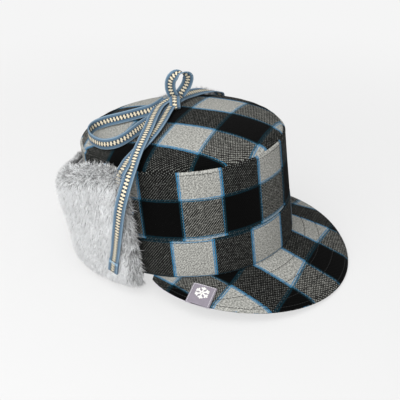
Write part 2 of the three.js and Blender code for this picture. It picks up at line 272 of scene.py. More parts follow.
class Graph:
    """Short ways to add shader nodes to one material."""

    def __init__(self, name):
        self.material = bpy.data.materials.new(name)
        self.material.use_nodes = True
        self.tree = self.material.node_tree
        self.shader = next(n for n in self.tree.nodes if n.type == "BSDF_PRINCIPLED")

    def node(self, kind, **settings):
        made = self.tree.nodes.new(kind)
        for key, value in settings.items():
            setattr(made, key, value)
        return made

    def feed(self, socket, value):
        if isinstance(value, bpy.types.NodeSocket):
            self.tree.links.new(value, socket)
        elif isinstance(value, str):
            socket.default_value = (*linear(value), 1)
        else:
            socket.default_value = value

    def math(self, operation, a, b=0.0, c=0.0):
        made = self.node("ShaderNodeMath", operation=operation)
        for socket, value in zip(made.inputs, (a, b, c)):
            self.feed(socket, value)
        return made.outputs[0]

    def times(self, a, b):
        return self.math("MULTIPLY", a, b)

    def plus(self, a, b):
        return self.math("ADD", a, b)

    def minus(self, a, b):
        return self.math("SUBTRACT", a, b)

    def spread(self, value, size, start):
        """A value from 0 to 1, as one from start to start + size."""
        return self.math("MULTIPLY_ADD", value, size, start)

    def mix(self, share, a, b):
        made = self.node("ShaderNodeMix", data_type="RGBA")
        self.feed(made.inputs["Factor"], share)
        self.feed(made.inputs[6], a)
        self.feed(made.inputs[7], b)
        return made.outputs[2]

    def scale(self, colour, share):
        made = self.node("ShaderNodeVectorMath", operation="SCALE")
        self.feed(made.inputs[0], colour)
        self.feed(made.inputs["Scale"], share)
        return made.outputs[0]

    def step(self, low, high, value):
        made = self.node("ShaderNodeMapRange", interpolation_type="SMOOTHSTEP")
        self.feed(made.inputs["Value"], value)
        made.inputs["From Min"].default_value = low
        made.inputs["From Max"].default_value = high
        return made.outputs[0]

    def noise(self, vector, scale, detail=2.0, roughness=0.6):
        made = self.node("ShaderNodeTexNoise")
        self.feed(made.inputs["Vector"], vector)
        made.inputs["Scale"].default_value = scale
        made.inputs["Detail"].default_value = detail
        made.inputs["Roughness"].default_value = roughness
        return made.outputs["Fac"]

    def cloth_place(self):
        """The place on the cloth in millimetres, as a vector and its two numbers."""
        made = self.node("ShaderNodeUVMap", uv_map="cloth")
        parts = self.node("ShaderNodeSeparateXYZ")
        self.tree.links.new(made.outputs[0], parts.inputs[0])
        return made.outputs[0], parts.outputs[0], parts.outputs[1]

    def wave(self, value, period):
        """A sine from 0 to 1."""
        turned = self.math("MULTIPLY_ADD", value, 2 * math.pi / period, 0.0)
        return self.math("MULTIPLY_ADD", self.math("SINE", turned), 0.5, 0.5)

    def finish(self, colour, roughness, height=None, relief=0.3, strength=0.5,
               sheen=0.0, sheen_roughness=0.5, specular=0.3):
        self.feed(self.shader.inputs["Base Color"], colour)
        self.feed(self.shader.inputs["Roughness"], roughness)
        self.shader.inputs["Specular IOR Level"].default_value = specular
        self.shader.inputs["Sheen Weight"].default_value = sheen
        self.shader.inputs["Sheen Roughness"].default_value = sheen_roughness
        self.shader.inputs["Sheen Tint"].default_value = (1, 1, 1, 1)
        if height is not None:
            bump = self.node("ShaderNodeBump")
            bump.inputs["Distance"].default_value = relief * MM
            bump.inputs["Strength"].default_value = strength
            self.feed(bump.inputs["Height"], height)
            self.feed(self.shader.inputs["Normal"], bump.outputs[0])
        return self.material


LIGHT_WOOL, LIGHT_FLECK = "#AAAAA4", "#6C6C69"
MIXED_WOOL, MIXED_FLECK = "#181817", "#989892"
DARK_WOOL, DARK_FLECK = "#0D0E0D", "#787975"
BLACK_WOOL, BLACK_FLECK = "#030303", "#0A0B0A"
BRIGHT_BLUE, DEEP_BLUE, TEAL = "#2A7098", "#1A5470", "#0A2832"
LINE_OFFSET, LINE_HALF = 0.8, 0.45  # the two blue yarns each side of a check's border
LADDER_PITCH = 3.2
TOOTH_SHIFT = 0.12  # of a pitch, from one side of the middle to the other
TWILL = 2.3  # millimetres from one twill rib to the next


def plaid():
    g = Graph("plaid_wool")
    place_on, x, y = g.cloth_place()
    shaken = g.noise(place_on, 0.45, 2)
    wobble = g.spread(shaken, 1.0, -0.5)
    x = g.plus(x, wobble)
    y = g.plus(y, wobble)

    def tone(value):
        """1 on a light yarn band, 0 on a dark one, and the blue pair at their border."""
        share = g.math("DIVIDE", value, 2 * CHECK)
        within = g.times(g.math("FRACT", share), 2 * CHECK)
        light = g.math("LESS_THAN", within, CHECK)
        half = g.math("PINGPONG", value, CHECK)
        inner = g.math("MINIMUM", half, g.minus(CHECK, half))
        pair = g.math("ABSOLUTE", g.minus(inner, LINE_OFFSET))
        line = g.minus(1.0, g.step(LINE_HALF - 0.3, LINE_HALF + 0.3, pair))
        close = g.minus(1.0, g.step(1.4, 2.2, inner))
        return light, line, close

    warp, warp_line, warp_close = tone(x)
    weft, weft_line, weft_close = tone(y)
    diagonal = g.plus(g.times(x, 1.0), g.times(y, 0.82))
    rib = g.wave(diagonal, TWILL)
    counter = g.wave(g.minus(y, g.times(x, 0.35)), TWILL * 0.62)
    fine = g.noise(place_on, 1.15, 3, 0.75)
    heather = g.noise(place_on, 0.22, 2)
    speck = g.noise(place_on, 0.7, 3, 0.8)
    weave = g.plus(g.times(g.times(rib, counter), 0.34),
                   g.times(g.plus(fine, speck), 0.47))
    weave = g.plus(weave, g.times(g.minus(heather, 0.5), 0.25))
    some = g.step(0.53, 0.70, weave)
    few = g.step(0.60, 0.80, weave)
    base = g.mix(warp, g.mix(weft, BLACK_WOOL, DARK_WOOL), g.mix(weft, MIXED_WOOL, LIGHT_WOOL))
    fleck = g.mix(warp, g.mix(weft, BLACK_FLECK, DARK_FLECK), g.mix(weft, MIXED_FLECK, LIGHT_FLECK))
    mixed_share = g.times(some, 0.8)
    dark_share = g.times(few, 0.8)
    light_share = g.times(g.step(0.40, 0.60, speck), 0.95)
    share_dark = g.mix(weft, g.times(few, 0.6), dark_share)
    share_light = g.mix(weft, mixed_share, light_share)
    colour = g.mix(g.mix(warp, share_dark, share_light), base, fleck)
    dash = g.spread(g.step(0.25, 0.6, weave), 0.45, 0.55)
    blue_up = g.mix(weft, g.mix(warp, TEAL, DEEP_BLUE), BRIGHT_BLUE)
    blue_across = g.mix(warp, TEAL, g.mix(weft, DEEP_BLUE, BRIGHT_BLUE))
    haze = g.mix(weft, TEAL, "#75909E")
    haze_across = g.mix(warp, TEAL, "#6B8898")
    colour = g.mix(g.times(warp_close, 0.12), colour, haze)
    colour = g.mix(g.times(weft_close, 0.15), colour, haze_across)
    colour = g.mix(g.times(weft_line, g.times(dash, 0.8)), colour, blue_across)
    colour = g.mix(g.times(warp_line, dash), colour, blue_up)
    colour = g.scale(colour, g.spread(heather, 0.3, 0.85))
    height = g.plus(g.times(rib, 0.55), g.times(fine, 0.8))
    roughness = g.spread(fine, 0.1, 0.86)
    return g.finish(colour, roughness, height, 0.45, 0.7, sheen=0.012, sheen_roughness=0.6, specular=0.03)


def fur():
    g = Graph("faux_fur")
    colour = g.node("ShaderNodeVertexColor", layer_name="tone").outputs[0]
    where = g.node("ShaderNodeTexCoord").outputs["Object"]
    patch = g.noise(where, 210, 2)
    colour = g.scale(colour, g.spread(patch, 0.12, 0.94))
    roughness = g.spread(patch, 0.15, 0.6)
    return g.finish(colour, roughness, sheen=0.75, sheen_roughness=0.5, specular=0.25)


def tape():
    """Flat woven tape: x runs along it and y across it, -5 to 5, in millimetres."""
    g = Graph("woven_tape")
    where, x, y = g.cloth_place()
    out = g.math("ABSOLUTE", y)
    fine = g.noise(where, 1.6, 2)
    slant = g.wave(g.plus(x, g.times(out, 0.9)), 1.3)
    base = g.mix(g.times(slant, 0.6), "#4A6275", "#68829A")
    edge = g.minus(1.0, g.step(0.3, 0.6, g.math("ABSOLUTE", g.minus(out, 4.5))))
    rib = g.wave(x, 1.2)
    base = g.mix(g.times(edge, g.spread(rib, 0.6, 0.1)), base, "#9AAFBD")
    # The ladder: cream teeth, nearly level each side of the middle, in a dark channel.
    side = g.math("GREATER_THAN", y, 0.0)
    tooth = g.wave(g.plus(x, g.times(side, LADDER_PITCH * TOOTH_SHIFT)), LADDER_PITCH)
    half = g.spread(g.step(0.38, 0.62, tooth), 1.75, 0.15)
    ladder = g.minus(1.0, g.step(-0.18, 0.18, g.minus(out, half)))
    channel = g.minus(1.0, g.step(2.1, 2.5, out))
    base = g.mix(g.times(channel, 0.95), base, "#2C3944")
    colour = g.mix(ladder, base, "#D9CEB4")
    colour = g.scale(colour, g.spread(fine, 0.4, 0.76))
    height = g.plus(g.times(ladder, 0.7), g.times(slant, 0.5))
    height = g.plus(height, g.times(fine, 0.3))
    return g.finish(colour, g.spread(fine, 0.15, 0.75), height, 0.3, 0.9,
                    sheen=0.04, specular=0.12)


def plain_weave(name, light, dark, period, sheen=0.1, roughness=0.8):
    g = Graph(name)
    where, x, y = g.cloth_place()
    threads = g.times(g.wave(x, period), g.wave(y, period))
    fine = g.noise(where, 1.2, 3)
    slow = g.noise(where, 0.15, 2)
    share = g.plus(g.times(threads, 0.6), g.times(fine, 0.4))
    colour = g.scale(g.mix(share, dark, light), g.spread(slow, 0.4, 0.8))
    rough = g.spread(fine, 0.15, roughness - 0.07)
    return g.finish(colour, rough, share, 0.2, 0.6, sheen=sheen, specular=0.25)


def thread(name, light, dark):
    g = Graph(name)
    where = g.node("ShaderNodeTexCoord").outputs["Object"]
    twist = g.noise(where, 2600, 1)
    colour = g.mix(twist, dark, light)
    return g.finish(colour, g.spread(twist, 0.2, 0.6), twist, 0.1, 0.4, specular=0.3)


def board():
    g = Graph("brim_board")
    where = g.node("ShaderNodeTexCoord").outputs["Object"]
    grain = g.noise(where, 900, 3)
    return g.finish(g.mix(grain, "#B9B3A4", "#D6D1C4"), g.spread(grain, 0.2, 0.5),
                    grain, 0.1, 0.3)


WOOL_CLOTH = plaid()
FUR = fur()
TAPE_CLOTH = tape()
LINING_CLOTH = plain_weave("quilted_lining", "#3A3E44", "#17191C", 0.9, sheen=0.3, roughness=0.45)
SWEAT_CLOTH = plain_weave("sweatband_twill", "#2A2D33", "#0E1013", 1.4)
LABEL_CLOTH = plain_weave("label_weave", "#9A939D", "#746E78", 0.8, sheen=0.2, roughness=0.65)
LABEL_THREAD = thread("label_thread", "#DAD8DC", "#AAA6AE")
MOTIF_THREAD = thread("motif_thread", "#F2F2EE", "#C9C9C4")
DARK_THREAD = thread("dark_thread", "#1A1B1C", "#060707")
BLUE_THREAD = thread("blue_thread", "#B6D2E4", "#7FAAC8")


# ---- Camera, light and floor ----
VIEW_AZIMUTH, VIEW_ELEVATION = -65.0, 32.5
VIEW_DISTANCE = 0.8
VIEW_LENS = 73.4


def camera():
    a, e = math.radians(VIEW_AZIMUTH), math.radians(VIEW_ELEVATION)
    back = Vector((math.sin(a) * math.cos(e), -math.cos(a) * math.cos(e), math.sin(e)))
    data = bpy.data.cameras.new("camera")
    data.lens = VIEW_LENS
    data.shift_x, data.shift_y = 0.0205, 0.0665
    made = bpy.data.objects.new("camera", data)
    made.location = Vector(BASE) + back * VIEW_DISTANCE
    made.rotation_mode = "QUATERNION"
    made.rotation_quaternion = (-back).to_track_quat("-Z", "Y")
    bpy.context.scene.collection.objects.link(made)
    bpy.context.scene.camera = made


LIGHTS_AIM = (0, 0, 0.06)


def area_light(name, place_at, size, power):
    data = bpy.data.lights.new(name, "AREA")
    data.size, data.energy = size, power
    made = bpy.data.objects.new(name, data)
    made.location = place_at
    aim = Vector(LIGHTS_AIM) - Vector(place_at)
    made.rotation_mode = "QUATERNION"
    made.rotation_quaternion = aim.to_track_quat("-Z", "Y")
    bpy.context.scene.collection.objects.link(made)


def studio():
    scene = bpy.context.scene
    scene.view_settings.view_transform = "Standard"
    world = bpy.data.worlds.new("studio")
    scene.world = world
    world.use_nodes = True
    nodes, links = world.node_tree.nodes, world.node_tree.links
    background = nodes["Background"]
    background.inputs["Color"].default_value = (*linear("#F5F5F5"), 1)
    background.inputs["Strength"].default_value = WORLD_LIGHT
    seen = nodes.new("ShaderNodeBackground")
    seen.inputs["Color"].default_value = (*linear("#F5F5F5"), 1)
    path = nodes.new("ShaderNodeLightPath")
    either = nodes.new("ShaderNodeMixShader")
    links.new(path.outputs["Is Camera Ray"], either.inputs[0])
    links.new(background.outputs[0], either.inputs[1])
    links.new(seen.outputs[0], either.inputs[2])
    links.new(either.outputs[0], nodes["World Output"].inputs["Surface"])
    area_light("key", (-0.5, 0.15, 1.05), 0.9, 9.5)
    area_light("fill", (-1.1, 0.0, 0.4), 1.0, 8.8)
    floor_mesh = bpy.data.meshes.new("floor")
    half = 3.0
    floor_mesh.from_pydata([(-half, -half, 0), (half, -half, 0), (half, half, 0), (-half, half, 0)],
                           [], [(0, 1, 2, 3)])
    g = Graph("floor")
    g.finish("#D3D3D3", 1.0, specular=0.0)
    where = g.node("ShaderNodeTexCoord").outputs["Object"]
    away = g.node("ShaderNodeVectorMath", operation="LENGTH")
    g.feed(away.inputs[0], where)
    fade = g.minus(1.0, g.step(0.22, 0.7, away.outputs["Value"]))
    clear = g.node("ShaderNodeBsdfTransparent")
    either = g.node("ShaderNodeMixShader")
    g.feed(either.inputs[0], g.times(fade, FLOOR_SHARE))
    g.feed(either.inputs[1], clear.outputs[0])
    g.feed(either.inputs[2], g.shader.outputs[0])
    output = next(n for n in g.material.node_tree.nodes if n.type == "OUTPUT_MATERIAL")
    g.feed(output.inputs["Surface"], either.outputs[0])
    floor_mesh.materials.append(g.material)
    floor = bpy.data.objects.new("floor", floor_mesh)
    scene.collection.objects.link(floor)


WORLD_LIGHT = 0.75
FLOOR_SHARE = 0.3  # of the floor that takes shadows; the rest lets the pale surround through
camera()
studio()


# ---- Ties ----
def catmull(stops):
    """A centripetal curve through the stops, as 60 points from each stop to the next."""
    p = np.asarray(stops, float)
    p = np.vstack([2 * p[0] - p[1], p, 2 * p[-1] - p[-2]])
    fine = []
    for k in range(1, len(p) - 2):
        a, b, c, d = p[k - 1:k + 3]
        t0, t1, t2 = (max(np.linalg.norm(q - r), 1e-4) ** 0.5 for q, r in ((a, b), (b, c), (c, d)))
        m1 = ((b - a) / t0 - (c - a) / (t0 + t1) + (c - b) / t1) * t1
        m2 = ((c - b) / t1 - (d - b) / (t1 + t2) + (d - c) / t2) * t1
        s = np.linspace(0, 1, 60, endpoint=False)[:, None]
        fine.append((2 * s**3 - 3 * s**2 + 1) * b + (s**3 - 2 * s**2 + s) * m1
                    + (3 * s**2 - 2 * s**3) * c + (s**3 - s**2) * m2)
    return np.vstack([*fine, p[-2][None]])


def even(points, count):
    """count + 1 points evenly spaced along a line of points, and its length."""
    run = np.concatenate([[0], np.cumsum(np.linalg.norm(np.diff(points, axis=0), axis=1))])
    s = np.linspace(0, run[-1], count + 1)
    return np.stack([np.interp(s, run, points[:, k]) for k in range(3)], -1), run[-1]


def ribbon(name, stops, width=TAPE_WIDTH, thickness=TAPE, step=0.9, start=0.0, cup=0.25):
    """A flat tape along (point, face direction) stops. Returns it with its centre line, in metres."""
    line = catmull([at for at, _ in stops])
    whole = np.linalg.norm(np.diff(line, axis=0), axis=1).sum()
    at, length = even(line, max(4, int(whole / step)))
    faces_line = catmull([face for _, face in stops])
    nearest = [np.argmin(np.sum((line - q) ** 2, axis=1)) for q in at]
    looks = faces_line[np.clip(nearest, 0, len(faces_line) - 1)]
    along = unit(np.gradient(at, axis=0))
    face = unit(looks - along * np.sum(looks * along, axis=1, keepdims=True))
    across = np.cross(along, face)
    half, thin = width / 2, thickness / 2
    spots = np.array([-1, -0.97, -0.88, -0.6, -0.3, 0, 0.3, 0.6, 0.88, 0.97, 1]) * half
    swell = thin * np.array([0.45, 0.9, 1.25, 0.95, 0.9, 1.05, 0.9, 0.95, 1.25, 0.9, 0.45])
    section = [(x, t) for x, t in zip(spots, swell)] + [(x, -t) for x, t in zip(spots[::-1], swell[::-1])]
    run = np.linspace(0, length, len(at)) + start
    rings = []
    for x, t in section:
        scallop = 1 + 0.012 * np.sin(run * 2 * math.pi / 1.4) * (abs(x) > 0.9 * half)
        lift = t - cup * (x / half) ** 2
        rings.append(at + across * (x * scallop)[:, None] + face * lift)
    rings = np.stack(rings, 1)
    count, n = rings.shape[:2]
    i, j = np.meshgrid(np.arange(count - 1), np.arange(n), indexing="ij")
    i, j = i.ravel(), j.ravel()
    k = (j + 1) % n
    quads = np.stack([i * n + j, i * n + k, (i + 1) * n + k, (i + 1) * n + j], -1)
    side = np.array([x for x, _ in section])
    uv = np.stack([np.stack([run[a], side[b]], -1) for a, b in ((i, j), (i, k), (i + 1, k), (i + 1, j))], 1)
    caps, cap_uv = [], []
    last = len(spots) - 1
    for ring in (0, count - 1):
        for b in range(last):
            corner = [b, b + 1, n - 2 - b, n - 1 - b]
            caps.append([ring * n + c for c in corner])
            cap_uv.append([[run[ring], side[c]] for c in corner])
    faces = np.vstack([quads, np.array(caps)])
    uv = np.concatenate([uv, np.array(cap_uv)])
    made = new_object(name, rings.reshape(-1, 3), faces, uv, TAPE_CLOTH)
    face_out(made)
    path = place(at)
    return made, path, float(np.sum(np.linalg.norm(np.diff(path, axis=0), axis=1)))


# Each tape as stops: a point, and the direction that the tape's face looks there. These are not
# the solid model's routes.
RIGHT_TIE = [
    ((-103, 9.5, 98), (-1, -0.2, 0.3)),
    ((-101, 8.5, 105), (-0.8, -0.2, 0.6)),
    ((-95, 7, 109), (-0.4, 0, 1)),
    ((-84, 8.5, 110.5), (-0.2, 0, 1)),
    ((-73, 7, 113), (-0.3, 0, 1)),
    ((-62, 4, 116.5), (-0.3, 0, 1)),
    ((-46.5, 2.5, 120), (-0.2, 0, 1)),
    ((-27, 4.5, 122.2), (-0.1, 0, 1)),
    ((-4, 9.5, 123), (-0.1, 0, 1)),
    ((9, 11.5, 124.2), (0, 0, 1)),
    ((18, 13, 125), (0, 0, 1)),
]
LEFT_TIE = [
    ((19, 11, 124.5), (-0.45, -0.35, 0.85)),
    ((30, 10, 123.8), (-0.5, -0.4, 0.8)),
    ((43, 8, 121.8), (-0.5, -0.4, 0.8)),
    ((57, 5, 118.8), (-0.3, -0.3, 0.9)),
    ((71, 2, 114), (0.1, -0.1, 1)),
    ((84, 2, 108), (0.35, 0, 1)),
    ((95, 3, 102.5), (0.5, 0, 1)),
    ((101, 5, 95), (1, 0, 0.3)),
]
TAIL = [
    ((14, 16, 127), (0, 0, 1)),
    ((0, 18.5, 126.2), (-0.1, 0, 1)),
    ((-24, 13.4, 125.6), (-0.15, 0, 1)),
    ((-43.5, 8.3, 123.4), (-0.2, 0, 1)),
    ((-60, 5.3, 119.9), (-0.3, 0, 1)),
    ((-72, 4, 116), (-0.4, 0, 1)),
    ((-82, 3, 111.5), (-0.5, -0.05, 1)),
    ((-91, 1.6, 107.8), (-0.6, -0.15, 0.8)),
    ((-101, 0.6, 102), (-0.9, -0.2, 0.6)),
    ((-108.5, 2, 92), (-1, -0.2, 0.25)),
    ((-111, 6, 79), (-1, -0.15, 0)),
    ((-110, 11, 63), (-1, 0, -0.1)),
    ((-108.5, 16, 46.5), (-1, 0.1, -0.1)),
    ((-106.5, 21.5, 29), (-1, 0.2, -0.1)),
    ((-105.5, 24.4, 21), (-1, 0.2, -0.1)),
]
HEM = [
    ((-105.4, 24.6, 20.4), (-1, 0.2, -0.1)),
    ((-103.6, 29, 7.4), (-1, 0.2, -0.1)),
]
LARGE_LOOP = [
    ((13, 20, 124.5), (0.3, 0.7, -0.8)),
    ((-9, 22.5, 125), (0.4, 0.8, -0.6)),
    ((-19.8, 34, 123.9), (0.9, 0.4, -0.3)),
    ((-27.4, 47, 121.9), (0.9, 0.3, -0.25)),
    ((-31.5, 60, 119), (0.9, 0.4, -0.2)),
    ((-37.5, 68, 116.7), (0.4, 1, -0.1)),
    ((-46, 69, 115), (-0.2, 1, 0)),
    ((-55, 63.5, 114.2), (-0.8, 0.6, 0.05)),
    ((-63.5, 52.1, 114), (-1, 0.2, 0.1)),
    ((-68.2, 39.5, 115), (-1, -0.2, 0.1)),
    ((-66.5, 29, 117), (-0.9, -0.6, 0.2)),
    ((-59.5, 22, 119.6), (-0.5, -1, 0.3)),
    ((-49, 18.2, 121.8), (-0.3, -1, 0.5)),
    ((-36, 16.5, 122.4), (-0.2, -0.8, 0.8)),
    ((-22, 15, 122.6), (-0.1, -0.3, 1)),
]
SMALL_LOOP = [
    ((19, 14.5, 127), (-0.8, -0.2, 0.1)),
    ((17.5, 16, 136), (-1, -0.3, 0.2)),
    ((16.5, 13, 145.5), (-1, -0.4, 0.5)),
    ((19.5, 6, 150.8), (0, -0.3, 1)),
    ((22.5, -0.5, 147.5), (1, 0.3, 0.5)),
    ((25, 2.5, 138), (1, 0.3, 0)),
    ((23, 9.5, 128), (0.8, 0.2, 0)),
]


def ties():
    knot = knot_wrap()
    hem, _, _ = ribbon("tail_hem_fold", HEM, TAPE_WIDTH + 0.6, 1.8, start=265)
    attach(hem, "tail")
    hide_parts("tail_hem")
    rows = (
        ("right_tie_tape", RIGHT_TIE, "right_tie", "right_tie_and_bow", RIGHT_TIE[0][0], "knot", []),
        ("left_tie_tape", LEFT_TIE, "left_tie", "left_tie", LEFT_TIE[-1][0], "knot", []),
        ("large_loop_tape", LARGE_LOOP, "large_loop", "right_tie_and_bow", LARGE_LOOP[0][0], "knot", []),
        ("small_loop_tape", SMALL_LOOP, "small_loop", "right_tie_and_bow", SMALL_LOOP[0][0], "knot", [knot]),
        ("tail_tape", TAIL, "tail", "tail", TAIL[0][0], "bare", [hem]),
    )
    for name, stops, node, body, start, far_end, with_pieces in rows:
        made, path, length = ribbon(name, stops)
        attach(made, body)
        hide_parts(node)


KNOT_CENTRE = np.array([11.5, 9.5, 124.4])


def knot_wrap():
    """One wrap of the tape over the crossing, its face outwards and its end tucked under."""
    axis_x, axis_y = np.array([-0.88, -0.42, -0.2]), np.array([-0.1, -0.05, 1.0])
    axis_x /= np.linalg.norm(axis_x)
    axis_y -= axis_x * (axis_y @ axis_x)
    axis_y /= np.linalg.norm(axis_y)
    stops = []
    for t in np.linspace(-0.35, 2 * math.pi + 0.1, 15):
        out = axis_x * math.cos(t) * 0.6 + axis_y * math.sin(t)
        grow = 1 + 0.02 * t
        at = KNOT_CENTRE + (axis_x * 7.6 * math.cos(t) + axis_y * 4.3 * math.sin(t)) * grow
        stops.append((tuple(at), tuple(out)))
    made, _, _ = ribbon("bow_knot_wrap", stops, width=9.6, cup=0.7, step=0.6)
    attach(made, "right_tie_and_bow")
    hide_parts("bow_knot")
    return made


def hem_stitching():
    """Two pale rows of thread across the tail where its end is folded up."""
    at, face = np.array(HEM[0][0], float), np.array(HEM[0][1], float)
    run = np.array(HEM[1][0], float) - at
    run /= np.linalg.norm(run)
    face -= run * (face @ run)
    face /= np.linalg.norm(face)
    across = np.cross(run, face)
    for number, inset in enumerate((0.9, 2.3)):
        x = np.linspace(-TAPE_WIDTH / 2 - 0.2, TAPE_WIDTH / 2 + 0.2, 30)[:, None]
        line = at + run * inset + face * 1.1 + across * x
        row = stitches(f"hem_stitching_{number + 1}", line, 0 * line + face, BLUE_THREAD, 1.9, 1.6, 0.42)
        finish_piece(row, "tail", "woven_tape")


ties()


# ---- Crown ----
STITCH_INSET = 1.9  # of the top-stitching from a folded edge
GROOVE = 0.4


def groove(distance):
    return -GROOVE * bell(distance, 0, 0.7)


def dome(r):
    return np.maximum(0, 1 - r**TIP_ROUNDNESS) ** (1 / TIP_SHOULDER)


def side_face(angle, z):
    """The side panels' outer face: rolled over at the top, drawn in along its stitching."""
    under = SEAM_HEIGHT - z
    roll = -1.3 * bell(under, 0, 0.9) + 0.45 * bell(under, 1.2, 1.0)
    pucker = 0.12 * np.sin(arc(angle) * 2 * math.pi / 2.9) * bell(under, STITCH_INSET, 1.6)
    sag = 0.9 * bell(z, 62, 22) * (0.5 + 0.5 * np.sin(np.radians(angle) * 4 + 0.8))
    seam = -0.9 * sum(bell(angle, a, 0.8) for a in (0, 180, 360))
    offset = roll + groove(under - STITCH_INSET) + pucker + ripple(angle, z) + 0.4 * sag + seam
    return around(angle, z, offset)


def top_face(turn, r):
    """The top panel's outer face, sunk a little where it meets the side panels."""
    angle = 360 * turn
    edge = around(angle, SEAM_HEIGHT + 0 * angle, -0.7 + 0 * angle)
    gather = 0.15 * np.sin(np.radians(angle) * 34) * smooth(0.86, 0.97, r)
    soft = 0.7 * np.sin(r * 5 + np.radians(angle) * 3) * r * (1 - r)
    z = SEAM_HEIGHT - 0.6 + TIP_RISE * dome(r) + gather + soft - 2.0 * bell(r, 1.0, 0.016)
    return np.stack([edge[..., 0] * r, edge[..., 1] * r, z], -1)


def side_pattern(shift_x, shift_y, stretch=1.0):
    def pattern(u, v, points):
        angle = np.degrees(np.arctan2(-points[..., 0] / HALF_WIDTH, -points[..., 1] / HALF_LENGTH))
        turned = np.unwrap(np.radians(angle), axis=1)
        return np.stack([(arc(np.degrees(turned)) + shift_x) * stretch, points[..., 2] + shift_y], -1)
    return pattern


def crown():
    top = cloth(
        "crown_top_cloth",
        lambda u, v: top_face(u, np.sin(np.maximum(v, 0.004) * math.pi / 2) ** 0.9),
        lambda u, v, p: np.stack([p[..., 0] + 57.5, (p[..., 1] + 45) * 0.93], -1),
        240, 70, WOOL, WOOL_CLOTH, ring=True,
    )
    finish_piece(top, "crown", "plaid_wool", "crown_tip")
    for side, start in (("right", 0), ("left", 180)):
        made = cloth(
            f"crown_side_{side}_cloth",
            lambda u, v: side_face(start + 0.15 + 179.7 * u,
                                   mix(BAND_HEIGHT - 1.5, SEAM_HEIGHT + 0.2, 1 - (1 - v) ** 1.25)),
            side_pattern(1, -39.5 + CHECK, CHECK / 37),
            200, 56, WOOL, WOOL_CLOTH,
        )
        finish_piece(made, "crown", "plaid_wool", f"crown_side_{side}")
    band = cloth(
        "lower_band_cloth",
        lambda u, v: band_face(360 * u, mix(0.2, BAND_HEIGHT + 0.3, v)),
        side_pattern(-12.5, -0.2),
        360, 30, WOOL, WOOL_CLOTH, ring=True,
    )
    finish_piece(band, "crown", "plaid_wool", "lower_band")
    angles = np.linspace(0, 360, 1400)
    for name, height, face in (("top_seam_stitching", SEAM_HEIGHT - STITCH_INSET, side_face),
                               ("band_stitching", BAND_HEIGHT - STITCH_INSET, band_face)):
        line = face(angles, height + 0 * angles)
        thread_row = stitches(name, line, line * [1, 1, 0], DARK_THREAD)
        finish_piece(thread_row, "crown", "plaid_wool")
    for place_name, angle in (("front", 0), ("back", 180)):
        for side in (-1.6, 1.6):
            z = np.linspace(BAND_HEIGHT + 1.5, SEAM_HEIGHT - 3, 120)
            line = side_face(angle + side + 0 * z, z)
            row = stitches(f"{place_name}_seam_stitching_{'right' if side > 0 else 'left'}", line,
                           line * [1, 1, 0], DARK_THREAD)
            finish_piece(row, "crown", "plaid_wool")


def band_face(angle, z):
    under = BAND_HEIGHT - z
    edge = -0.7 * bell(under, -0.3, 0.8)
    offset = BAND_PROUD + 0.25 + edge + groove(under - STITCH_INSET) + ripple(angle + 40, z, 0.8)
    offset = offset - 0.7 * bell(z, 0, 1.2)
    return around(angle, z, offset)


def finish_piece(made, body, slot, *nodes):
    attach(made, body)
    if nodes:
        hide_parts(*nodes)
    return made


# ---- Inside ----
QUILT_DIAMOND, QUILT_DEPTH = 26, 1.1
BASE_GIRTH = 540  # round the inside, for the linings' weave


def inside():
    low, high = SWEATBAND_HEIGHT - 3, SEAM_HEIGHT - 4

    def quilt(angle, z):
        a = arc(angle) / QUILT_DIAMOND
        b = z / QUILT_DIAMOND
        return -QUILT_DEPTH * (np.abs(np.sin(math.pi * (a + b))) * np.abs(np.sin(math.pi * (a - b)))) ** 0.5

    def along(u, v, points):
        return np.stack([u * BASE_GIRTH, points[..., 2]], -1)

    side = cloth(
        "lining_side_cloth",
        lambda u, v: around(360 * u, mix(low, high, v), -LINING_OFFSET + quilt(360 * u, mix(low, high, v))),
        along, 240, 50, 0.7, LINING_CLOTH, ring=True,
    )
    finish_piece(side, "crown", "lining", "lining_side")

    def lining_top(u, v):
        r = np.sin(np.maximum(v, 0.01) * math.pi / 2)
        edge = around(360 * u, SEAM_HEIGHT + 0 * u, -LINING_OFFSET + 0 * u)
        z = high + (TIP_RISE - 0.6) * dome(r)
        return np.stack([edge[..., 0] * r, edge[..., 1] * r, z], -1)

    top = cloth("lining_top_cloth", lining_top, lambda u, v, p: p[..., :2], 120, 30, 0.7,
                LINING_CLOTH, ring=True)
    finish_piece(top, "crown", "lining", "lining_tip")
    sweat = cloth(
        "sweatband_cloth",
        lambda u, v: around(360 * u, mix(0.5, SWEATBAND_HEIGHT, v),
                            -LINING_OFFSET + 0.8 - 0.5 * bell(v, 0.5, 0.5)),
        along, 240, 14, 1.5, SWEAT_CLOTH, ring=True,
    )
    finish_piece(sweat, "crown", "sweatband", "sweatband")
    frame["nodes"]["brim_board"].data.materials[0] = BOARD


# ---- Brim ----
def reach(angle):
    return BRIM_REACH * np.maximum(0, 1 - (np.abs(angle) / (BRIM_END + 2)) ** 2) ** 0.9


def brim_face(angle, out, drop):
    """On the brim, out millimetres from the crown and drop below its upper face."""
    angle = np.asarray(angle, float) + 0 * np.asarray(out)
    side = np.sin(np.radians(angle)) ** 2
    slope = np.tan(np.radians(mix(BRIM_SLOPE_FRONT, BRIM_SLOPE_SIDE, side)))
    run = np.maximum(0, out)
    fall = run * slope * (0.9 + 0.1 * run / np.maximum(reach(angle), 1))
    flat = around(angle, 0 * angle, out)
    flat[..., 2] = -fall - drop
    return flat


# The brim's checks fan out from a point behind the crown.
FAN_SIDE, FAN_START, FAN_OPENING = 30, 95, 0.0035
FAN_MIDDLE, FAN_RADIUS = 190.7, 310.5
ACROSS_SCALE, OUT_SCALE = 1.074, 0.856  # of the plaid, across the brim and outwards


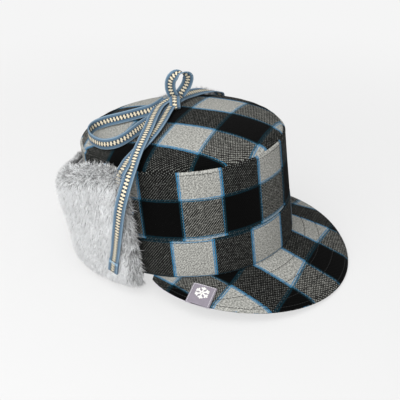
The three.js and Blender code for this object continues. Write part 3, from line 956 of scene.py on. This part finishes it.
def brim_pattern(u, v, points):
    """The check opens out a little towards the brim's edge, as cloth pressed over it does."""
    x, y = points[..., 0] + FAN_SIDE, points[..., 1]
    fan = 1 + FAN_OPENING * (-y - FAN_START)
    away = np.hypot(np.minimum(0, x), y - FAN_MIDDLE)
    return np.stack([x / fan * ACROSS_SCALE + CHECK / 2, (FAN_RADIUS - away) * OUT_SCALE], -1)


ARCS = (12.5, 26.0, 39.0)  # the brim's rows of top-stitching, from the crown
EDGE_STITCH = 2.6


def brim_relief(angle, out):
    rows = sum(groove(out - a) for a in ARCS) + groove(reach(angle) - out - EDGE_STITCH)
    swell = 0.25 * np.sin(out / 6.5) + 0.5 * ripple(angle * 1.5, out)
    return -(rows + 0.3 * swell)


def brim_edge(angle, out):
    """How far each cover is drawn towards the other near the brim's edge."""
    return 1.5 * smooth(3.2, 0.0, reach(angle) - out)


def brim():
    def upper(u, v):
        angle = mix(-BRIM_END, BRIM_END, u)
        out = mix(-BRIM_ROOT, reach(angle), 1 - (1 - v) ** 1.3)
        return brim_face(angle, out, brim_relief(angle, out) + brim_edge(angle, out))

    def lower(u, v):
        angle = mix(-BRIM_END, BRIM_END, u)
        out = mix(-BRIM_ROOT, reach(angle) - 0.2, 1 - (1 - v) ** 1.3)
        return brim_face(angle, out, BRIM_THICKNESS - brim_edge(angle, out) - brim_relief(angle, out) * 0.5)

    top = cloth("brim_upper_cloth", upper, brim_pattern, 300, 90, 1.1, WOOL_CLOTH,
                facing=(0, 0, 1))
    finish_piece(top, "crown", "plaid_wool", "brim_top_cover")
    under = cloth("brim_under_cloth", lower,
                  lambda u, v, p: brim_pattern(u, v, p) + [9, 14], 300, 60, 1.0, WOOL_CLOTH,
                  facing=(0, 0, -1))
    finish_piece(under, "crown", "plaid_wool", "brim_under_cover")
    for side in (-1, 1):
        angle = side * np.linspace(58, BRIM_END - 2, 260)
        line = brim_face(angle, reach(angle) + 0.2, BRIM_THICKNESS - 1.4)
        cord = stitches(f"brim_edge_cord_{'right' if side > 0 else 'left'}", line, 0 * line + [0, 0, 1],
                        LABEL_THREAD, 1.9, 2.3, 0.6)
        finish_piece(cord, "crown", "plaid_wool")
    for number, out in enumerate([*ARCS, None]):
        end = BRIM_END - 4
        if out is not None:
            end = (BRIM_END + 2) * math.sqrt(1 - ((out + 3) / BRIM_REACH) ** (1 / 0.9)) - 1
        angle = np.linspace(-end, end, 900)
        line_out = reach(angle) - EDGE_STITCH if out is None else out + 0 * angle
        line = brim_face(angle, line_out, brim_relief(angle, line_out) + brim_edge(angle, line_out))
        row = stitches(f"brim_stitching_{number + 1}", line + [0, 0, 0.05], 0 * line + [0, 0, 1],
                       DARK_THREAD)
        finish_piece(row, "crown", "plaid_wool")


# ---- Label ----
LABEL_LENGTH, LABEL_DEPTH, LABEL_ANGLE = 22, 22, 64


def edge_point(angle):
    return around(angle, 0 * angle, reach(angle))[..., :2]


def on_label(x, y, lift):
    """x along the brim's edge and y in from it, millimetres on the label from its middle."""
    corner = edge_point(np.array(LABEL_ANGLE, float))
    ahead = edge_point(np.array(LABEL_ANGLE + 1.0)) - edge_point(np.array(LABEL_ANGLE - 1.0))
    ahead /= np.linalg.norm(ahead)
    inward = np.array([-ahead[1], ahead[0]])
    if inward @ corner > 0:
        inward = -inward
    deep = (y + LABEL_DEPTH / 2) * 0.96 - 2.2
    plan = corner + ahead * np.asarray(x)[..., None] + inward * np.asarray(deep)[..., None]
    angle, out = brim_place(plan)
    return brim_face(angle, out, -lift)


def brim_place(plan):
    """The angle and distance out from the crown of points in plan on the brim."""
    px, py = plan[..., 0], plan[..., 1]
    angle = np.degrees(np.arctan2(-px / HALF_WIDTH, -py / HALF_LENGTH))
    for _ in range(12):
        a = np.radians(angle)
        normal = unit(np.stack([-np.sin(a) / HALF_WIDTH, -np.cos(a) / HALF_LENGTH], -1))
        out = (px + HALF_WIDTH * np.sin(a)) * normal[..., 0]
        out = out + (py + HALF_LENGTH * np.cos(a)) * normal[..., 1]
        foot = plan - normal * out[..., None]
        angle = np.degrees(np.arctan2(-foot[..., 0] / HALF_WIDTH, -foot[..., 1] / HALF_LENGTH))
    return angle, out


def label():
    half = LABEL_LENGTH / 2

    def face(u, v):
        x, y = mix(half, -half, u), mix(-LABEL_DEPTH / 2, LABEL_DEPTH / 2, v)
        return on_label(x, y, 0.95 + 0.12 * np.sin(x / 2.6) - 0.35 * bell(np.abs(x) - half, 0, 1.2))

    tag = cloth("label_cloth", face, lambda u, v, p: np.stack([u * 22, v * 23], -1), 40, 40, 0.6,
                LABEL_CLOTH, facing=(0, 0, 1))
    finish_piece(tag, "crown", "label", "label_tag")
    edge = 1.3
    corners = [(half - edge, -half + 0.2), (half - edge, half - edge + 0.5),
               (-half + edge, half - edge + 0.5), (-half + edge, -half + 0.2)]
    walk, _ = even(np.array([[x, y, 0.0] for x, y in corners]), 240)
    line = on_label(walk[:, 0], walk[:, 1], 1.15)
    border = stitches("label_stitching", line, 0 * line + [0, 0, 1], LABEL_THREAD, 1.7, 1.4, 0.42)
    finish_piece(border, "crown", "label")
    strokes = []
    for arm in range(6):
        a = math.radians(60 * arm + 30)
        along, across = np.array([math.cos(a), math.sin(a)]), np.array([-math.sin(a), math.cos(a)])
        strokes.append((along * 0.3, along * 5.0))
        for side in (-1, 1):
            strokes.append((along * 2.9, along * 4.1 + across * side * 1.6))
    middle = np.array([0, 2.0])
    vertices, faces = [], []
    for start, stop in strokes:
        step = (stop - start) / np.linalg.norm(stop - start)
        wide = np.array([-step[1], step[0]]) * 0.52
        spots = [start - wide, stop - wide, stop + wide, start + wide]
        b = len(vertices)
        for lift, shrink in ((0.9, 1.0), (1.3, 0.75)):
            centre = (start + stop) / 2
            for spot in spots:
                x, y = middle + 1.35 * (centre + (spot - centre) * shrink)
                vertices.append(on_label(np.array(x), np.array(y), lift))
        faces += [[b, b + 3, b + 2, b + 1], [b + 4, b + 5, b + 6, b + 7]]
        faces += [[b + k, b + (k + 1) % 4, b + 4 + (k + 1) % 4, b + 4 + k] for k in range(4)]
    motif = new_object("label_snowflake", np.array(vertices), np.array(faces), None, MOTIF_THREAD, False)
    face_out(motif)
    finish_piece(motif, "crown", "label")


BOARD = board()
crown()
inside()
brim()
label()


# ---- Flaps ----
FLAPS = ("right_ear", "right_rear", "neck", "left_rear", "left_ear")
PANEL = (360 - 2 * FLAP_FRONT) / FLAP_COUNT  # degrees round the base that a panel takes


LEFT_PULL = 9  # the left flap is drawn down this far under its tie


def from_front(angle):
    return np.minimum(angle, 360 - angle)


def stand_off(angle, z):
    back = smooth(FLAP_FRONT, 128, from_front(angle))
    climb = (np.maximum(z, 0) / EAR_HEIGHT) ** 1.3
    return BAND_PROUD + mix(1.6, 5, back) + mix(6, 13, back) * climb


def flap_height(angle):
    pulled = LEFT_PULL * smooth(200, 250, angle)
    return mix(EAR_HEIGHT - pulled, NECK_HEIGHT, smooth(108, 160, from_front(angle)))


def floor_under(y):
    """The height, in the hat's leaning frame, of the surface it stands on."""
    return (y * UP[1] - BASE[2] / MM) / UP[2]


def shells():
    for number, flap in enumerate(FLAPS):
        start = FLAP_FRONT + number * PANEL
        low = start + (0 if number == 0 else SHELL_JOIN / 4)
        high = start + PANEL - (0 if number == FLAP_COUNT - 1 else SHELL_JOIN / 4)

        def face(u, v, low=low, high=high):
            angle = mix(low, high, u)
            z = mix(0.4, flap_height(angle), v)
            return around(angle, z, stand_off(angle, z) + SHELL + 0.5 * ripple(angle, z))

        shell = cloth(f"{flap}_flap_shell_cloth", face, side_pattern(24, 8), 40, 30, SHELL,
                      WOOL_CLOTH)
        finish_piece(shell, f"{flap}_flap", "plaid_wool", f"{flap}_flap_shell")


# ---- Fur: a body with the pile's roots on it, and the pile as tapered strands ----
BODY_DEPTH = FUR_PILE - FUR_SETBACK
EDGE_ROUND = 7.0  # millimetres over which the free front edges round off
STRANDS = 19900
LONG_STRAND, SHORT_STRAND = 9.0, 6.6  # on the face, and on the rolled top and front edges
THIN_STRAND, THICK_STRAND = 0.19, 0.31


def fur_front(angle):
    """Millimetres from the band of fur's nearer free front edge."""
    return arc(from_front(angle)) - arc(FLAP_FRONT + 0.8)


def fur_surface(angle, v):
    """The pile's roots: v runs from the bottom edge, over the outer face, to the top edge."""
    base = around(angle, 0 * angle, stand_off(angle, 0) + SHELL)
    bottom = np.maximum(-FUR_DROP, floor_under(base[..., 1])) + 0.8
    lumps = 1.1 * np.sin(arc(angle) / 8.1) + 0.8 * np.sin(arc(angle) / 4.7 + 2)
    top = flap_height(angle) + FUR_TOP - 2.0 + lumps * smooth(0, 12, fur_front(angle))
    z = mix(bottom, top, v)
    full = np.sqrt(np.maximum(0, 1 - np.abs(2 * v - 1) ** 7))
    inward = np.clip(1 - fur_front(angle) / EDGE_ROUND, 0, 1)
    end = np.sqrt(np.maximum(0, 1 - inward**2))
    swell = 0.9 * np.sin(arc(angle) / 11 + z / 15) * np.sin(z / 19 + 1) * full * end
    depth = 0.4 + (BODY_DEPTH - 0.4) * full * end + swell
    z = z - 5.0 * (1 - end) * np.sign(v - 0.5) * np.abs(2 * v - 1)
    return around(angle, z, stand_off(angle, z) + SHELL + 0.1 + depth)


def fur_body(flap, start, stop):
    def face(u, v):
        across = mix(start, stop, 0.5 - 0.5 * np.cos(math.pi * u))
        return fur_surface(across, 0.5 - 0.5 * np.cos(math.pi * v))

    v, u = np.meshgrid(np.linspace(0, 1, 57), np.linspace(0, 1, 41), indexing="ij")
    outer = face(u, v)
    inner_angle = mix(start, stop, 0.5 - 0.5 * np.cos(math.pi * u))
    inner = around(inner_angle, outer[..., 2], stand_off(inner_angle, outer[..., 2]) + SHELL + 0.1)
    loop = np.concatenate([outer, inner[::-1]])
    rows, columns = loop.shape[:2]
    index = np.arange(rows * columns).reshape(rows, columns)
    after = np.roll(index, -1, axis=0)
    sides = np.stack([index[:, :-1], index[:, 1:], after[:, 1:], after[:, :-1]], -1).reshape(-1, 4)
    half = rows // 2
    caps = []
    for column in (0, columns - 1):
        k = np.arange(half - 1)
        caps.append(np.stack([index[k, column], index[k + 1, column],
                              index[rows - 2 - k, column], index[rows - 1 - k, column]], -1))
    faces = np.concatenate([sides, *caps])
    body = new_object(f"{flap}_flap_fur_body", loop.reshape(-1, 3), faces, None, FUR)
    shade(body, np.full(rows * columns, 0.45))
    face_out(body)
    return body


def shade(obj, tone):
    """The pile's grey at each vertex."""
    colours = np.empty((len(tone), 4))
    colours[:, :3] = tone[:, None] * np.array([0.985, 1.0, 1.01])
    colours[:, 3] = 1
    layer = obj.data.color_attributes.new("tone", "FLOAT_COLOR", "POINT")
    layer.data.foreach_set("color", colours.ravel())


def tufts(a, z):
    """Smooth sway of the pile, -1 to 1, a millimetres round the base and z up it."""
    slow = np.sin(a / 3.9 + 2.1 * np.sin(z / 9.7)) * np.sin(z / 5.3 + 1.7 * np.sin(a / 7.9))
    fast = np.sin(a / 1.7 + 1.9 * np.sin(z / 4.1 + 1)) * np.sin(z / 3.1 + a / 5.9)
    return 0.6 * slow + 0.4 * fast


def fur_strands(name, start, stop, seed, count):
    rng = np.random.default_rng(seed)
    tries = count * 3
    angle = rng.uniform(start, stop, tries)
    v = 0.5 - 0.5 * np.cos(math.pi * rng.uniform(0.02, 0.985, tries))
    spread = np.sin(math.pi * np.arccos(1 - 2 * v) / math.pi)
    root = fur_surface(angle, v)
    step_a, step_v = 0.15, 0.002
    to_a = (fur_surface(angle + step_a, v) - fur_surface(angle - step_a, v)) / (2 * step_a)
    to_v = (fur_surface(angle, np.minimum(v + step_v, 1)) - fur_surface(angle, np.maximum(v - step_v, 0)))
    to_v /= 2 * step_v
    cross = np.cross(to_v, to_a)
    area = np.linalg.norm(cross, axis=1)
    normal = cross / np.maximum(area, 1e-9)[:, None]
    outward = root * [1, 1, 0]
    normal[np.sum(normal * outward, axis=1) < 0] *= -1
    area = np.minimum(area * np.maximum(spread, 0.05), np.percentile(area, 99) * 2)
    keep = rng.choice(tries, count, replace=False, p=area / area.sum())
    angle, v, root, normal, to_a, to_v = (value[keep] for value in (angle, v, root, normal, to_a, to_v))
    up = unit(to_v)
    along = np.cross(normal, up)
    a, z = arc(angle), root[:, 2]
    sway, sway2 = tufts(a, z), tufts(z + 40, a)
    top = smooth(0.84, 0.97, v)
    front = smooth(9, 2, fur_front(angle))
    low = smooth(0.10, 0.02, v)
    lay = mix(1.0, 0.10, np.maximum(top, 0.6 * front))
    noise = rng.normal(0, 1, (count, 3))
    first = normal * (0.75 + 0.2 * top)[:, None] - up * (0.62 * lay)[:, None]
    first += along * (0.3 * sway)[:, None] + noise * 0.16
    second = normal * mix(0.30, 0.75, top)[:, None] - up * (0.95 * lay)[:, None]
    second += up * (0.25 * top)[:, None]
    second += along * (0.55 * sway + 0.25 * top * sway2)[:, None] + noise * 0.24
    second += rng.normal(0, 1, (count, 3)) * mix(0.16, 0.42, top)[:, None]
    for direction in (first, second):
        direction /= np.linalg.norm(direction, axis=1, keepdims=True)
    length = mix(LONG_STRAND, SHORT_STRAND, np.maximum(top, 0.5 * front))
    length = length * rng.uniform(0.72, 1.2, count) * (1 + 0.12 * sway2)
    length = length * mix(1, 0.75, low)
    width = rng.uniform(THIN_STRAND, THICK_STRAND, count)
    dark_share = 0.05 + 0.72 * np.maximum(top, 0.6 * front) * (0.35 + np.maximum(0, sway2) * 1.3)
    guard = rng.random(count) < dark_share
    width = np.where(guard, width * 1.25, width)
    middle = root + first * (length * 0.48)[:, None]
    tip = middle + second * (length * 0.52)[:, None]
    tip -= np.array([0, 0, 1.0]) * (0.06 * length * (1 - top))[:, None]
    side = unit(np.cross(first, normal + 0.01))
    other = np.cross(first, side)
    turns = np.arange(3) * 2 * math.pi / 3
    ring = (np.cos(turns)[None, :, None] * side[:, None] + np.sin(turns)[None, :, None] * other[:, None])
    root = root - normal * 0.5
    low_ring = root[:, None] + ring * width[:, None, None]
    high_ring = middle[:, None] + ring * (0.8 * width)[:, None, None]
    vertices = np.concatenate([low_ring, high_ring, tip[:, None]], axis=1)
    floor = floor_under(vertices[..., 1]) + 0.25 + 0.3 * rng.random((count, 1))
    vertices[..., 2] = np.maximum(vertices[..., 2], floor)
    pattern = []
    for k in range(3):
        n = (k + 1) % 3
        pattern += [[k, n, 3 + n], [k, 3 + n, 3 + k], [3 + k, 3 + n, 6]]
    pattern.append([0, 2, 1])
    faces = (np.arange(count) * 7)[:, None, None] + np.array(pattern)[None]
    coat = mix(1.0, 0.8, np.maximum(top, 0.75 * front)) * rng.uniform(0.96, 1.1, count)
    streak = smooth(0.35, 0.9, np.sin(a / 5.1 + 1.3 * np.sin(z / 31)) * np.sin(a / 2.3 + z / 60))
    coat = np.minimum(coat, 1) * (1 - 0.12 * streak) * (1 - 0.08 * np.maximum(0, sway2))
    coat = np.where(guard, coat * rng.uniform(0.06, 0.42, count), coat)
    roots = coat * mix(0.8, 0.22, np.maximum(top, 0.6 * front))
    bends = coat * mix(0.97, 0.75, np.maximum(top, 0.6 * front))
    low_tone, high_tone = (np.repeat(value[:, None], 3, 1) for value in (roots, bends))
    tone = np.concatenate([low_tone, high_tone, coat[:, None]], 1)
    strands = new_object(name, vertices.reshape(-1, 3), faces.reshape(-1, 3), None, FUR)
    shade(strands, tone.ravel())
    return strands


def fur_pieces():
    count = STRANDS
    for number, flap in enumerate(FLAPS):
        start = FLAP_FRONT + number * PANEL
        low = start + (0.8 if number == 0 else 0)
        high = start + PANEL - (0.8 if number == FLAP_COUNT - 1 else 0)
        body = fur_body(flap, low, high)
        finish_piece(body, f"{flap}_flap", "faux_fur", f"{flap}_flap_fur")
        pile = fur_strands(f"{flap}_flap_fur_pile", low, high, 11 + number, count)
        finish_piece(pile, f"{flap}_flap", "faux_fur", f"{flap}_flap_fur")


shells()
fur_pieces()
hem_stitching()
